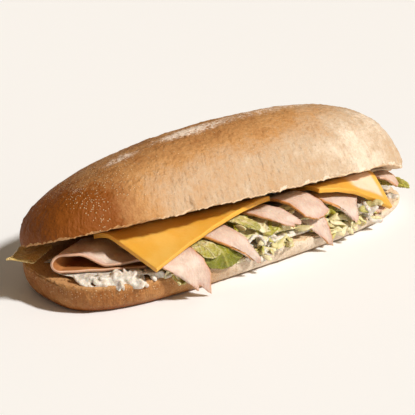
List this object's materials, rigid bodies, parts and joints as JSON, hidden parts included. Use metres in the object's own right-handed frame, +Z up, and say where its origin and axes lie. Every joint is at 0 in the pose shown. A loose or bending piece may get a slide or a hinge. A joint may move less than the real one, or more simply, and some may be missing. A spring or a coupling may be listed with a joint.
{
  "type": "submarine sandwich",
  "caption": "Long soft white roll cut in half and opened at the front over creamy dressing, shredded lettuce, folded turkey slices and cheese slices.",
  "frame": {"origin": "middle of the flat base of the bottom half of the roll, on the surface it rests on", "axes": "+X along the roll to its thinner right end, -Y out of the open front where the filling shows, +Z up"},
  "size_m": [0.2365, 0.0868, 0.0675],
  "materials": {
    "crust": "soft matte, lightly floured",
    "heel_crust": "soft matte",
    "turkey": "moist satin",
    "cheese": "smooth satin",
    "lettuce": "moist satin",
    "pale_lettuce": "moist satin",
    "cream": "wet"
  },
  "bodies": {
    "root": {"bun_top": "crust", "bun_bottom": "heel_crust", "cream": "cream", "turkey_fold": "turkey", "turkey_under_corner": "turkey", "turkey_lower_middle": "turkey", "turkey_middle": "turkey", "turkey_right_of_middle": "turkey", "turkey_hanging": "turkey", "turkey_right": "turkey", "turkey_under_right_cheese": "turkey", "turkey_right_end": "turkey", "cheese_left": "cheese", "cheese_right": "cheese", "lettuce_heap": "lettuce", "lettuce_front": "lettuce", "lettuce_left_end": "lettuce", "lettuce_right_end": "lettuce", "lettuce_thin": "pale_lettuce", "lettuce_rib": "pale_lettuce"}
  },
  "joints": []
}
